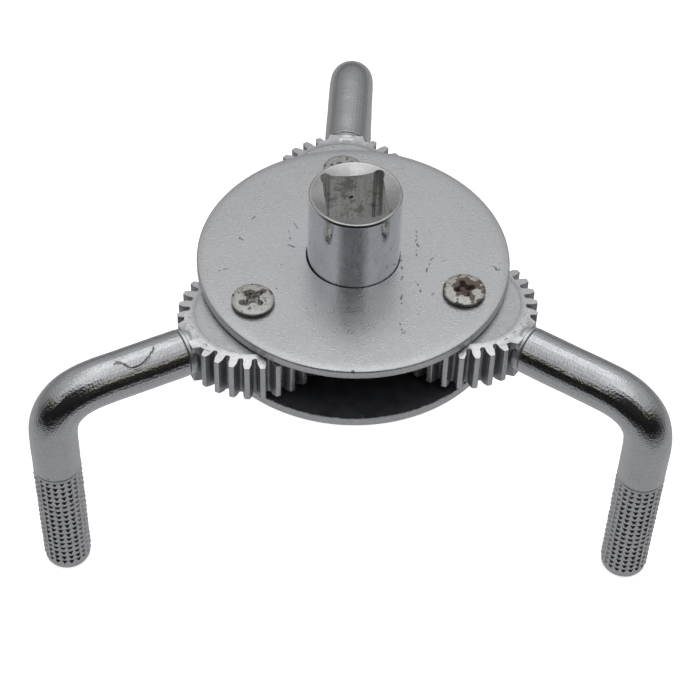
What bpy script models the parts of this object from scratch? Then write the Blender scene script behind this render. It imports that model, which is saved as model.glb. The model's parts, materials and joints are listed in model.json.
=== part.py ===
"""Three-legged oil filter wrench with a geared head.

Turning the square drive in the middle turns a sun gear between two round plates.
Three planet gears mesh with it, and each planet carries a bent rod, so that the
three knurled legs close on a filter together, whichever way the drive is turned.

The origin is on the drive's axis, at the underside of the bottom plate.  +Z points
up along the drive, and the first arm points along +Y.
"""

from math import acos, cos, floor, pi, radians, sin, tan

import bmesh
import bpy
from mathutils import Vector

MM = 0.001

# The head: two plates and the gap that the gears turn in.
PLATE_RADIUS = 33.3 * MM
PLATE_THICKNESS = 2.3 * MM
PLATE_GAP = 12.6 * MM
PLATE_EDGE = 0.35 * MM
CLEARANCE = 0.3 * MM

# The gears.  All three arms reach the same angle because the sun's teeth divide by three.
ARMS = 3
GEAR_MODULE = 1.0 * MM
SUN_TEETH = 21
PLANET_TEETH = 30
PRESSURE_ANGLE = radians(20)
ADDENDUM = 0.8 * GEAR_MODULE
BACKLASH = 0.3 * MM
TIP_ROUNDING = 0.25 * MM

# The drive: journal, sun gear and square socket in one piece.
DRIVE_HEIGHT = 35.0 * MM
DRIVE_RADIUS = 9.85 * MM
DRIVE_TWIST = radians(2)
JOURNAL_RADIUS = 7.7 * MM
RIM_CHAMFER = 0.35 * MM
COUNTERSINK_RADIUS = 9.35 * MM
COUNTERSINK_SLOPE = radians(22)
SQUARE = 12.8 * MM
CORNER_RELIEF_RADIUS = 1.3 * MM
CORNER_RELIEF_REACH = 9.0 * MM
SOCKET_DEPTH = 17.0 * MM
DETENT_RADIUS = 1.6 * MM
DETENT_DEPTH = 0.55 * MM
DETENT_BELOW_RIM = 7.5 * MM

# The planets' hub faces and the collar that holds the rod.
HUB_FACE_RADIUS = 12.2 * MM
HUB_FACE_DROP = 0.4 * MM
COLLAR_RADIUS = 5.4 * MM
COLLAR_REACH = 16.3 * MM
REST_SWING = -8

# The rods.
ROD_RADIUS = 5.05 * MM
SPIGOT_RADIUS = 3.5 * MM
SPIGOT_START = 7.6 * MM
LEG_REACH = 45.9 * MM
BEND_RADIUS = 11.5 * MM
LEG_BOTTOM = -42.3 * MM
LEG_END_ROUNDING = 1.6 * MM
KNURL_RADIUS = 5.2 * MM
KNURL_LENGTH = 29.9 * MM
KNURL_RUNOUT = 0.4 * MM

# The pivots.
SLEEVE_RADIUS = 4.5 * MM
SCREW_RADIUS = 2.0 * MM
SCREW_END = 0.4 * MM
SCREW_HEAD_RADIUS = 4.5 * MM
SCREW_HEAD_HEIGHT = 1.05 * MM
SCREW_HEAD_DOME = 0.3 * MM
RECESS_REACH = 2.4 * MM
RECESS_WIDTH = 1.0 * MM
RECESS_DEPTH = 1.9 * MM
RECESS_TAPER = 0.35
WASHER_RADIUS = 9.0 * MM
WASHER_THICKNESS = 0.6 * MM

# Facets on the round pieces.
PLATE_SEGMENTS = 120
DRIVE_SEGMENTS = 96
ROD_SEGMENTS = 24
BEND_STEPS = 9
SMALL_SEGMENTS = 32
WASHER_SEGMENTS = 48

# Sizes that follow from those above.
TOP_PLATE_BOTTOM = PLATE_THICKNESS + PLATE_GAP
TOP_PLATE_TOP = TOP_PLATE_BOTTOM + PLATE_THICKNESS
GAP_FLOOR = PLATE_THICKNESS + CLEARANCE
GAP_CEILING = TOP_PLATE_BOTTOM - CLEARANCE
SUN_RADIUS = GEAR_MODULE * SUN_TEETH / 2
PLANET_RADIUS = GEAR_MODULE * PLANET_TEETH / 2
PIVOT_RADIUS = SUN_RADIUS + PLANET_RADIUS
GEAR_ROOT_DEPTH = 1.75 * GEAR_MODULE
SHOULDER_DEPTH = 1.5 * CLEARANCE
ROD_HEIGHT = GAP_CEILING - ROD_RADIUS
ROD_START = COLLAR_REACH + CLEARANCE
HUB_BOTTOM = GAP_FLOOR + WASHER_THICKNESS + CLEARANCE
HUB_TOP = GAP_CEILING - 0.1 * MM
PLANET_BORE = SLEEVE_RADIUS + CLEARANCE
PLATE_SCREW_HOLE = SCREW_RADIUS + CLEARANCE


def remove_everything():
    """Start from an empty scene."""
    for thing in list(bpy.data.objects):
        bpy.data.objects.remove(thing, do_unlink=True)


def make_material(name, colour, roughness, metallic):
    """A Principled material with one colour."""
    material = bpy.data.materials.new(name)
    material.use_nodes = True
    shader = material.node_tree.nodes["Principled BSDF"]
    shader.inputs["Base Color"].default_value = (*colour, 1.0)
    shader.inputs["Roughness"].default_value = roughness
    shader.inputs["Metallic"].default_value = metallic
    return material


def finish_mesh(name, shape, sharp_angle=radians(30)):
    """Turn a bmesh into a smooth-shaded mesh with outward normals."""
    bmesh.ops.recalc_face_normals(shape, faces=shape.faces)
    mesh = bpy.data.meshes.new(name)
    shape.to_mesh(mesh)
    shape.free()
    mesh.shade_smooth()
    mesh.set_sharp_from_angle(angle=sharp_angle)
    return mesh


def add_object(name, mesh, material=None, parent=None):
    """Place a mesh in the scene at its parent's origin."""
    thing = bpy.data.objects.new(name, mesh)
    bpy.context.scene.collection.objects.link(thing)
    thing.parent = parent
    if material is not None:
        mesh.materials.clear()
        mesh.materials.append(material)
    return thing


def add_pivot(name, radius, bearing, heading):
    """An empty on a joint's axis, at a bearing round the drive and turned to a heading."""
    pivot = bpy.data.objects.new(name, None)
    bpy.context.scene.collection.objects.link(pivot)
    pivot.location = (radius * cos(bearing), radius * sin(bearing), 0)
    pivot.rotation_euler = (0, 0, heading)
    return pivot


def combine(thing, operation, tool):
    """Cut, join or intersect with a tool object, which is then only a guide."""
    tool.hide_render = True
    tool.display_type = "WIRE"
    modifier = thing.modifiers.new(tool.name, "BOOLEAN")
    modifier.operation = operation
    modifier.solver = "EXACT"
    modifier.object = tool


def turned(name, profile, segments):
    """A body of revolution about Z from a closed outline of (radius, height) points."""
    shape = bmesh.new()
    corners = [shape.verts.new((radius, 0, height)) for radius, height in profile]
    edges = [shape.edges.new((a, b)) for a, b in zip(corners, corners[1:] + corners[:1])]
    bmesh.ops.spin(
        shape,
        geom=corners + edges,
        cent=(0, 0, 0),
        axis=(0, 0, 1),
        angle=2 * pi,
        steps=segments,
        use_merge=True,
    )
    bmesh.ops.remove_doubles(shape, verts=shape.verts, dist=0.000001)
    on_axis = [edge for edge in shape.edges if not edge.link_faces]
    bmesh.ops.delete(shape, geom=on_axis, context="EDGES")
    return finish_mesh(name, shape)


def ring_profile(inner, outer, bottom, top, edge):
    """A ring's outline with its outer edges broken."""
    return [
        (inner, bottom),
        (outer - edge, bottom),
        (outer, bottom + edge),
        (outer, top - edge),
        (outer - edge, top),
        (inner, top),
    ]


def prism(name, outline, bottom, top):
    """An outline of (x, y) points drawn out along Z."""
    shape = bmesh.new()
    floor_face = shape.faces.new([shape.verts.new((x, y, bottom)) for x, y in outline])
    raised = bmesh.ops.extrude_face_region(shape, geom=[floor_face])
    moved = [item for item in raised["geom"] if isinstance(item, bmesh.types.BMVert)]
    bmesh.ops.translate(shape, verts=moved, vec=(0, 0, top - bottom))
    return finish_mesh(name, shape)


def circle_points(radius, segments, centre=(0, 0)):
    """Points round a circle."""
    turns = [2 * pi * step / segments for step in range(segments)]
    return [(centre[0] + radius * cos(turn), centre[1] + radius * sin(turn)) for turn in turns]


def involute(angle):
    """The involute function."""
    return tan(angle) - angle


def gear_outline(teeth):
    """An involute gear's outline with a tooth centred on +X."""
    pitch_radius = GEAR_MODULE * teeth / 2
    base_radius = pitch_radius * cos(PRESSURE_ANGLE)
    tip_radius = pitch_radius + ADDENDUM
    root_radius = pitch_radius - GEAR_ROOT_DEPTH
    thickness = pi * GEAR_MODULE / 2 - BACKLASH
    pitch_half_angle = thickness / 2 / pitch_radius

    def half_angle(radius):
        pressure = acos(min(1, base_radius / radius))
        return pitch_half_angle + involute(PRESSURE_ANGLE) - involute(pressure)

    corner_radius = tip_radius - TIP_ROUNDING
    flank = [
        (root_radius, half_angle(base_radius) + 0.2 * CLEARANCE / root_radius),
        (max(base_radius, root_radius + SHOULDER_DEPTH), half_angle(base_radius)),
        (pitch_radius, pitch_half_angle),
        (corner_radius, half_angle(corner_radius)),
        (tip_radius, half_angle(tip_radius) - 0.6 * TIP_ROUNDING / tip_radius),
    ]
    outline = []
    for tooth in range(teeth):
        centre = 2 * pi * tooth / teeth
        rising = [(radius, centre - half) for radius, half in flank]
        falling = [(radius, centre + half) for radius, half in reversed(flank)]
        for radius, angle in rising + falling:
            outline.append((radius * cos(angle), radius * sin(angle)))
    return outline


def mesh_phase():
    """The sun tooth's offset from the line of centres, in radians, at the rest swing.

    A planet tooth points along its arm.  The tooth space nearest the sun then lies a
    little off the line of centres, and a sun tooth has to fill it.
    """
    tooth_pitch = 360 / PLANET_TEETH
    arm_to_sun = 180 - REST_SWING
    space = tooth_pitch * (floor(arm_to_sun / tooth_pitch) + 0.5)
    planet_offset = space - arm_to_sun
    return radians(-planet_offset * PLANET_TEETH / SUN_TEETH)


def rod_centreline(distance):
    """Position and direction on the rod's axis, at a distance from the planet's axis."""
    bend_start = LEG_REACH - BEND_RADIUS
    bend_length = BEND_RADIUS * pi / 2
    if distance <= bend_start:
        return Vector((distance, 0, ROD_HEIGHT)), Vector((1, 0, 0))
    if distance < bend_start + bend_length:
        turn = (distance - bend_start) / BEND_RADIUS
        place = Vector((bend_start + BEND_RADIUS * sin(turn), 0, ROD_HEIGHT - BEND_RADIUS * (1 - cos(turn))))
        return place, Vector((cos(turn), 0, -sin(turn)))
    drop = distance - bend_start - bend_length
    return Vector((LEG_REACH, 0, ROD_HEIGHT - BEND_RADIUS - drop)), Vector((0, 0, -1))


def rod_stations():
    """Distances and radii along the rod, from the spigot to the end of the leg."""
    bend_start = LEG_REACH - BEND_RADIUS
    bend_length = BEND_RADIUS * pi / 2
    rod_end = bend_start + bend_length + ROD_HEIGHT - BEND_RADIUS - LEG_BOTTOM
    knurl_start = rod_end - KNURL_LENGTH
    stations = [
        (SPIGOT_START, SPIGOT_RADIUS - CLEARANCE),
        (SPIGOT_START + CLEARANCE, SPIGOT_RADIUS),
        (ROD_START, SPIGOT_RADIUS),
        (ROD_START, ROD_RADIUS - CLEARANCE),
        (ROD_START + CLEARANCE, ROD_RADIUS),
    ]
    for step in range(BEND_STEPS + 1):
        stations.append((bend_start + bend_length * step / BEND_STEPS, ROD_RADIUS))
    stations.append((knurl_start - KNURL_RUNOUT, ROD_RADIUS))
    stations.append((knurl_start, KNURL_RADIUS))
    for turn in (0, 30, 60, 90):
        shift = LEG_END_ROUNDING * (1 - sin(radians(turn)))
        inset = LEG_END_ROUNDING * (1 - cos(radians(turn)))
        stations.append((rod_end - shift, KNURL_RADIUS - inset))
    return stations


def rod_mesh():
    """The bent rod, swept along its centreline with +Y as the bend's axis."""
    shape = bmesh.new()
    across = Vector((0, 1, 0))
    rings = []
    for distance, radius in rod_stations():
        place, direction = rod_centreline(distance)
        outward = direction.cross(across)
        ring = []
        for x, y in circle_points(radius, ROD_SEGMENTS):
            ring.append(shape.verts.new(place + outward * x + across * y))
        rings.append(ring)
    for near, far in zip(rings, rings[1:]):
        for step in range(ROD_SEGMENTS):
            following = (step + 1) % ROD_SEGMENTS
            shape.faces.new((near[step], near[following], far[following], far[step]))
    shape.faces.new(list(reversed(rings[0])))
    shape.faces.new(rings[-1])
    return finish_mesh("arm_rod", shape)


def along_x(name, outline, start, end, height):
    """An outline of (sideways, upward) points drawn out along +X at a height."""
    mesh = prism(name, [(up, side) for side, up in outline], start, end)
    for vertex in mesh.vertices:
        up, side, forward = vertex.co
        vertex.co = (forward, side, height + up)
    mesh.flip_normals()
    return mesh


def add_plate(name, material, bottom, centre_hole, screw_hole):
    """A round plate with a hole for the drive and three for the screws."""
    top = bottom + PLATE_THICKNESS
    profile = ring_profile(centre_hole, PLATE_RADIUS, bottom, top, PLATE_EDGE)
    plate = add_object(name, turned(name, profile, PLATE_SEGMENTS), material)
    for number in range(ARMS):
        bearing = arm_bearing(number)
        centre = (PIVOT_RADIUS * cos(bearing), PIVOT_RADIUS * sin(bearing))
        outline = circle_points(screw_hole, SMALL_SEGMENTS, centre)
        cutter_mesh = prism("hole", outline, bottom - CLEARANCE, top + CLEARANCE)
        cutter = add_object(f"{name}_cutter_{number + 1}", cutter_mesh)
        combine(plate, "DIFFERENCE", cutter)
    return plate


def arm_bearing(number):
    """Where a planet's axis lies round the drive."""
    return radians(90 + 360 * number / ARMS)


def socket_outline():
    """The square socket with a round relief at each corner."""
    half = SQUARE / 2
    reach = (CORNER_RELIEF_REACH - CORNER_RELIEF_RADIUS) / 2 ** 0.5
    relief_steps = 9
    spread = acos((half - reach) / CORNER_RELIEF_RADIUS)
    outline = []
    for corner in range(4):
        turn = pi / 2 * corner
        first = -spread
        last = pi / 2 + spread
        for step in range(relief_steps):
            angle = first + (last - first) * step / (relief_steps - 1)
            x = reach + CORNER_RELIEF_RADIUS * cos(angle)
            y = reach + CORNER_RELIEF_RADIUS * sin(angle)
            outline.append((x * cos(turn) - y * sin(turn), x * sin(turn) + y * cos(turn)))
    return outline


def add_drive(material):
    """Journal, sun gear and square drive socket, all turning together."""
    pivot = add_pivot("drive_pivot", 0, 0, DRIVE_TWIST)
    core_radius = SUN_RADIUS - GEAR_ROOT_DEPTH - 0.3 * MM
    post_bottom = GAP_CEILING - 0.2 * MM
    rim = DRIVE_HEIGHT
    journal_top = GAP_FLOOR + 0.2 * MM
    profile = [
        (0, 0),
        (JOURNAL_RADIUS - CLEARANCE, 0),
        (JOURNAL_RADIUS, CLEARANCE),
        (JOURNAL_RADIUS, journal_top),
        (core_radius, journal_top),
        (core_radius, post_bottom),
        (DRIVE_RADIUS, post_bottom),
        (DRIVE_RADIUS, rim - RIM_CHAMFER),
        (DRIVE_RADIUS - 0.5 * RIM_CHAMFER, rim - 0.15 * RIM_CHAMFER),
        (COUNTERSINK_RADIUS, rim),
        (0, rim - COUNTERSINK_RADIUS * tan(COUNTERSINK_SLOPE)),
    ]
    drive = add_object("drive_socket", turned("drive_socket", profile, DRIVE_SEGMENTS), material, pivot)

    teeth = prism("sun_teeth", gear_outline(SUN_TEETH), GAP_FLOOR, GAP_CEILING)
    sun = add_object("sun_teeth_guide", teeth, None, pivot)
    sun.rotation_euler = (0, 0, arm_bearing(0) + mesh_phase() - DRIVE_TWIST)
    combine(drive, "UNION", sun)

    socket = prism("socket", socket_outline(), rim - SOCKET_DEPTH, rim + MM)
    combine(drive, "DIFFERENCE", add_object("socket_cutter", socket, None, pivot))

    detent_centre = SQUARE / 2 - DETENT_RADIUS + DETENT_DEPTH
    for side in range(4):
        shape = bmesh.new()
        bmesh.ops.create_uvsphere(shape, u_segments=12, v_segments=8, radius=DETENT_RADIUS)
        detent = add_object(f"detent_cutter_{side + 1}", finish_mesh("detent", shape), None, pivot)
        turn = pi / 2 * side
        detent.location = (
            detent_centre * cos(turn),
            detent_centre * sin(turn),
            rim - DETENT_BELOW_RIM,
        )
        combine(drive, "DIFFERENCE", detent)
    return drive


def planet_blank_profile():
    """The planet's turned blank: hub faces, and tooth faces that fall away to the rim."""
    rim_radius = PLANET_RADIUS + ADDENDUM + MM
    slope = HUB_FACE_DROP / (PLANET_RADIUS + ADDENDUM - HUB_FACE_RADIUS)
    rim_drop = slope * (rim_radius - HUB_FACE_RADIUS)
    return [
        (PLANET_BORE, HUB_BOTTOM),
        (HUB_FACE_RADIUS, HUB_BOTTOM),
        (rim_radius, HUB_BOTTOM + 2 * rim_drop),
        (rim_radius, HUB_TOP - rim_drop),
        (HUB_FACE_RADIUS, HUB_TOP),
        (PLANET_BORE, HUB_TOP),
    ]


def add_planet(number, material, pivot):
    """A planet gear with a tooth on its arm's line and a collar for the rod."""
    name = f"planet_gear_{number}"
    blank = turned(name, planet_blank_profile(), WASHER_SEGMENTS)
    planet = add_object(name, blank, material, pivot)

    teeth = prism("planet_teeth", gear_outline(PLANET_TEETH), 0, TOP_PLATE_TOP)
    combine(planet, "INTERSECT", add_object(f"teeth_guide_{number}", teeth, None, pivot))

    flat = HUB_TOP - ROD_HEIGHT
    outline = [(side, min(up, flat)) for side, up in circle_points(COLLAR_RADIUS, ROD_SEGMENTS)]
    outline = [point for index, point in enumerate(outline) if point != outline[index - 1]]
    collar_start = PLANET_RADIUS - GEAR_ROOT_DEPTH - MM
    collar_mesh = along_x("collar", outline, collar_start, COLLAR_REACH, ROD_HEIGHT)
    collar = add_object(f"collar_guide_{number}", collar_mesh, None, pivot)
    combine(planet, "UNION", collar)

    hole = circle_points(SPIGOT_RADIUS + CLEARANCE, ROD_SEGMENTS)
    hole_start = SPIGOT_START - CLEARANCE
    hole_mesh = along_x("rod_hole", hole, hole_start, COLLAR_REACH + MM, ROD_HEIGHT)
    combine(planet, "DIFFERENCE", add_object(f"rod_hole_cutter_{number}", hole_mesh, None, pivot))
    return planet


def add_sleeve(number, material, bearing):
    """The spacer that a planet turns on, clamped between the plates."""
    inner = SCREW_RADIUS + CLEARANCE
    profile = ring_profile(inner, SLEEVE_RADIUS, GAP_FLOOR, GAP_CEILING, 0.2 * MM)
    name = f"pivot_sleeve_{number}"
    sleeve = add_object(name, turned(name, profile, SMALL_SEGMENTS), material)
    sleeve.location = (PIVOT_RADIUS * cos(bearing), PIVOT_RADIUS * sin(bearing), 0)
    return sleeve


def add_washer(number, material, bearing):
    """The thrust washer under a planet."""
    bottom = GAP_FLOOR
    top = bottom + WASHER_THICKNESS
    profile = ring_profile(PLANET_BORE, WASHER_RADIUS, bottom, top, 0.1 * MM)
    name = f"thrust_washer_{number}"
    washer = add_object(name, turned(name, profile, WASHER_SEGMENTS), material)
    washer.location = (PIVOT_RADIUS * cos(bearing), PIVOT_RADIUS * sin(bearing), 0)
    return washer


def recess_mesh(top):
    """A cross-shaped punch that narrows as it goes down."""
    wide = RECESS_REACH
    narrow = RECESS_WIDTH / 2
    cross = []
    for quarter in range(4):
        turn = pi / 2 * quarter
        for x, y in ((wide, -narrow), (wide, narrow), (narrow * 1.5, narrow * 1.5)):
            cross.append((x * cos(turn) - y * sin(turn), x * sin(turn) + y * cos(turn)))
    mesh = prism("recess", cross, top - RECESS_DEPTH, top + 0.5 * RECESS_DEPTH)
    for vertex in mesh.vertices:
        if vertex.co.z < top:
            vertex.co.x *= RECESS_TAPER
            vertex.co.y *= RECESS_TAPER
    return mesh


def add_screw(number, material, bearing):
    """A cross-recessed screw through the top plate and sleeve into the bottom plate."""
    head_bottom = TOP_PLATE_TOP + CLEARANCE
    head_top = head_bottom + SCREW_HEAD_HEIGHT
    edge = 0.1 * MM
    profile = [
        (0, SCREW_END),
        (SCREW_RADIUS - CLEARANCE, SCREW_END),
        (SCREW_RADIUS, SCREW_END + CLEARANCE),
        (SCREW_RADIUS, head_bottom),
        (SCREW_HEAD_RADIUS - edge, head_bottom),
        (SCREW_HEAD_RADIUS, head_bottom + edge),
        (SCREW_HEAD_RADIUS, head_top - SCREW_HEAD_DOME),
        (SCREW_HEAD_RADIUS - SCREW_HEAD_DOME, head_top - 0.3 * SCREW_HEAD_DOME),
        (SCREW_HEAD_RADIUS - 3 * SCREW_HEAD_DOME, head_top),
        (0, head_top),
    ]
    name = f"pivot_screw_{number}"
    pivot = add_pivot(f"screw_axis_{number}", PIVOT_RADIUS, bearing, radians(25 * number))
    screw = add_object(name, turned(name, profile, SMALL_SEGMENTS), material, pivot)
    recess = add_object(f"recess_cutter_{number}", recess_mesh(head_top), None, pivot)
    combine(screw, "DIFFERENCE", recess)
    return screw


def build():
    """The whole wrench at rest, with its arms swung a little off straight out."""
    remove_everything()
    zinc = make_material("zinc_plate", (0.47, 0.48, 0.49), 0.38, 1.0)
    polished = make_material("polished_steel", (0.56, 0.57, 0.58), 0.2, 1.0)
    chrome = make_material("chrome_rod", (0.60, 0.60, 0.60), 0.14, 1.0)
    sintered = make_material("sintered_gear", (0.42, 0.43, 0.44), 0.42, 1.0)
    worn = make_material("worn_screw", (0.55, 0.53, 0.50), 0.5, 0.8)
    bright = make_material("bright_steel", (0.50, 0.50, 0.51), 0.3, 1.0)

    drive_hole = DRIVE_RADIUS + 1.2 * CLEARANCE
    journal_hole = JOURNAL_RADIUS + CLEARANCE
    add_plate("bottom_plate", zinc, 0, journal_hole, PLATE_SCREW_HOLE)
    add_plate("top_plate", zinc, TOP_PLATE_BOTTOM, drive_hole, PLATE_SCREW_HOLE)
    add_drive(polished)
    for number in range(1, ARMS + 1):
        bearing = arm_bearing(number - 1)
        pivot = add_pivot(f"arm_pivot_{number}", PIVOT_RADIUS, bearing, bearing + radians(REST_SWING))
        add_planet(number, sintered, pivot)
        add_object(f"arm_rod_{number}", rod_mesh(), chrome, pivot)
        add_sleeve(number, bright, bearing)
        add_washer(number, bright, bearing)
        add_screw(number, worn, bearing)


build()
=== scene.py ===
import json
from math import acos, atan2, cos, pi, radians, sin, tan
from random import Random

import bmesh
import bpy
from mathutils import Matrix, Vector, noise


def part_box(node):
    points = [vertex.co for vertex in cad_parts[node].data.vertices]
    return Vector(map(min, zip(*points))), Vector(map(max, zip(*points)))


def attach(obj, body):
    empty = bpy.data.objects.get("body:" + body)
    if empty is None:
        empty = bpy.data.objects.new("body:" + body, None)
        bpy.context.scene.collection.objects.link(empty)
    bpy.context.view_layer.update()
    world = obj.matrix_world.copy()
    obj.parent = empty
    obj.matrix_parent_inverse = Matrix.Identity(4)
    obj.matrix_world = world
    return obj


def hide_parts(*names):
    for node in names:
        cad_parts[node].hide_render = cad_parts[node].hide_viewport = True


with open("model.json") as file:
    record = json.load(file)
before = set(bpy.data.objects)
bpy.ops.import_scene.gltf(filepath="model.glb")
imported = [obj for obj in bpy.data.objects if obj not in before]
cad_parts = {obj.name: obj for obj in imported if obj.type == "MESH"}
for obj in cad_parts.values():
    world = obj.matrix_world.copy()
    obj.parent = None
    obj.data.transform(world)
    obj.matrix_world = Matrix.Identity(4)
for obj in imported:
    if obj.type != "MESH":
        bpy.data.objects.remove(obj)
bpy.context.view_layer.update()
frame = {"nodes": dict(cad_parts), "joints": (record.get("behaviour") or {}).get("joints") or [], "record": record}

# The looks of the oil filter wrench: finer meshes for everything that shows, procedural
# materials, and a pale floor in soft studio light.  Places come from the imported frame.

MM = 0.001
joints = {joint["name"]: joint for joint in frame["joints"]}
mounts = {mount["name"]: mount for mount in frame["record"]["mounts"]}

# From the frame.
top_low, top_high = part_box("top_plate")
bottom_low, bottom_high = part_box("bottom_plate")
PLATE_RADIUS = (top_high.x - top_low.x) / 2
RIM_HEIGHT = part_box("drive_socket")[1].z
SOCKET_FLOOR = mounts["drive_square_floor"]["pos_m"][2]
PIVOTS = {number: Vector(joints[f"arm_{number}_swing"]["pos_m"]) for number in (1, 2, 3)}
TIPS = {number: Vector(mounts[f"leg_tip_{number}"]["pos_m"]) for number in (1, 2, 3)}
LEG_BOTTOM = TIPS[1].z
LEG_REACH = (TIPS[1] - PIVOTS[1]).to_2d().length
PIVOT_RADIUS = PIVOTS[1].to_2d().length
hub_low, hub_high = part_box("planet_gear_1")

# Edges shorter than a sliver are welded after Booleans; a radius this small is on the axis.
SLIVER = 0.001 * MM
AXIS = 0.0001 * MM

# The plates.
DRIVE_HOLE = 9.99 * MM
DRIVE_HOLE_SHIFT = Vector((-0.07, -0.02, 0)) * MM
JOURNAL_HOLE = 8.0 * MM
SCREW_HOLE = 2.3 * MM
HOLE_STEPS = 40
HOLE_LEAD = 0.3
EDGE_ROUNDING = 0.42 * MM
FLAT_RING = 14 * MM
CROWN_START = 22 * MM
CROWN_STEPS = 14
CROWN_DROP = 0.1 * MM
ROLL_DROP = 0.15 * MM
BURR = 0.22 * MM
PLATE_SEGMENTS = 320

# Scratches on the top plate: x and y of the middle, heading, length, and the bow at 1 mm from
# the middle, in millimetres and degrees.
SCRATCHES = (
    (-13.2, 6.3, -74, 4.4, 0.08), (-13.1, 3.2, -44, 2.0, 0.1), (-11.5, 9.2, -63, 2.4, 0.1),
    (-27.6, -2.7, 28, 2.8, 0.1), (-23.1, 5.9, -20, 2.2, 0.2), (-20.6, 12.3, 50, 2.2, 0.1),
    (13.9, 2.0, 84, 9, 0.02), (15.4, -4.6, 70, 6, -0.06), (12.9, -10.5, 100, 4, 0.15),
    (9.0, -12.5, 84, 24, 0.0), (17.2, -12.0, 15, 5, -0.1), (-20.0, -14.0, -35, 4, 0.1),
)

# The gears.
SUN_TEETH = 21
PLANET_TEETH = 30
MODULE = 2 * PIVOT_RADIUS / (SUN_TEETH + PLANET_TEETH)
PRESSURE_ANGLE = radians(20)
ADDENDUM = 0.8 * MODULE
ROOT_DEPTH = 1.75 * MODULE
PLANET_SLACK = -0.05 * MM
SUN_SLACK = 0.65 * MM
ROOT_FILLET = 0.4 * MM
TIP_ROUNDING = 0.22 * MM
FLANK_STEPS = 4
TOOTH_EDGE = 0.09 * MM
HUB_FACE_RADIUS = 12.2 * MM
HUB_STEP = 0.08 * MM
HUB_BEVEL = 0.12 * MM
TOOTH_FALL = 0.14
PLANET_BORE = 4.8 * MM
SUN_TOOTH_OFFSET = radians(2.857)
SUN_CORE = 8.4 * MM
SUN_LOW = bottom_high.z + 0.3 * MM
SUN_HIGH = top_low.z - 0.3 * MM

# The drive.
DRIVE_TWIST = radians(2)
POST_RADIUS = 9.85 * MM
JOURNAL_RADIUS = 7.7 * MM
RIM_ROUNDING = 0.4 * MM
COUNTERSINK_RADIUS = 9.05 * MM
COUNTERSINK_SLOPE = radians(22)
SQUARE = 12.8 * MM
RELIEF_RADIUS = 1.3 * MM
RELIEF_REACH = 9.0 * MM
RELIEF_STEPS = 14
DETENT_HEIGHT = RIM_HEIGHT - 7.5 * MM
DIMPLE_RADIUS = 2.1 * MM
DIMPLE_DEPTH = 0.34 * MM
DETENT_RADIUS = 0.62 * MM
DETENT_DEPTH = 0.75 * MM
DETENT_TILT = radians(-20)
DETENT_SQUASH = 0.66
DRIVE_SEGMENTS = 144

# The rods.
ROD_RADIUS = 5.05 * MM
ROD_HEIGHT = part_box("arm_rod_1")[1].z - ROD_RADIUS
SPIGOT_RADIUS = 3.5 * MM
SPIGOT_START = 7.6 * MM
COLLAR_REACH = 16.3 * MM
COLLAR_RADIUS = 4.95 * MM
SEAM = 0.09 * MM
ROD_STEP = 0.55 * MM
LUMP = 0.05 * MM
BEND_LENGTH = 22 * MM
BEND_EASE = 0.8
KNURL_LENGTH = 30.3 * MM
KNURL_COLUMNS = 20
KNURL_ROWS = 18
KNURL_PITCH = 1.592 * MM
KNURL_LEAD = 0.8 * MM
KNURL_VALLEY = 4.84 * MM
KNURL_TOP = 5.2 * MM
KNURL_WIDTH = 0.84
KNURL_HEIGHT = 0.86
END_RADIUS = 4.93 * MM
END_ROUNDING = 1.1 * MM

# The scuff on the second rod: its ends along the rod, and its turn round the rod as a curve.
SCUFF_START = 22.4 * MM
SCUFF_END = 32.0 * MM
SCUFF_TURN = radians(41)
SCUFF_POINTS = (
    (0.0, 0.05), (0.1, 0.33), (0.28, 0.68), (0.5, 0.9),
    (0.62, 0.88), (0.78, 0.5), (0.88, 0.3), (1.0, 0.32),
)

# The screws: brownness and colour of the head; colour of the recess, its share of pale spots
# (part bare steel, part painted glints), its twist, reach and depth.
CREAM = (0.60, 0.60, 0.575)
DULL = (0.52, 0.52, 0.515)
PALE_STEEL = (0.36, 0.35, 0.33)
DARK_BROWN = (0.2, 0.155, 0.135)
SCREWS = {
    1: (0.05, DULL, PALE_STEEL, 1.0, 0.5, 2.8 * MM, 1.1 * MM),
    2: (0.12, CREAM, PALE_STEEL, 1.0, 0.75, 3.3 * MM, 1.2 * MM),
    3: (0.2, CREAM, DARK_BROWN, 0.0, 0.15, 2.9 * MM, 1.3 * MM),
}
RECESS_WIDTH = 1.6 * MM
HEAD_RADIUS = 4.5 * MM
HEAD_SIDE = 0.9 * MM
HEAD_DOME = 0.42 * MM
SCREW_RADIUS = 2.0 * MM


# Meshes

def finished(name, shape, sharp=30):
    """A mesh with outward normals, smooth up to an angle except on the faces that are tagged."""
    bmesh.ops.recalc_face_normals(shape, faces=shape.faces)
    shape.faces.index_update()
    facets = [face.index for face in shape.faces if face.tag]
    mesh = bpy.data.meshes.new(name)
    shape.to_mesh(mesh)
    shape.free()
    mesh.shade_smooth()
    mesh.set_sharp_from_angle(angle=radians(sharp))
    for index in facets:
        mesh.polygons[index].use_smooth = False
    return mesh


def turned(angle, axis="Z"):
    """A turn about an axis, as a matrix."""
    return Matrix.Rotation(angle, 4, axis)


def polar(radius, angle):
    """X and Y of a point."""
    return radius * cos(angle), radius * sin(angle)


def ring_points(radius, steps, lead=0.0, centre=(0, 0)):
    """Points spaced evenly round a circle, starting a part of a step late."""
    spots = [polar(radius, 2 * pi * (step + lead) / steps) for step in range(steps)]
    return [(centre[0] + x, centre[1] + y) for x, y in spots]


def band(shape, *rings, steps=None):
    """Faces between each ring of vertices and the next, all round or at some of their steps."""
    for near, far in zip(rings, rings[1:]):
        for step in steps or range(len(near)):
            after = (step + 1) % len(near)
            shape.faces.new((near[step], near[after], far[after], far[step]))


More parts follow.
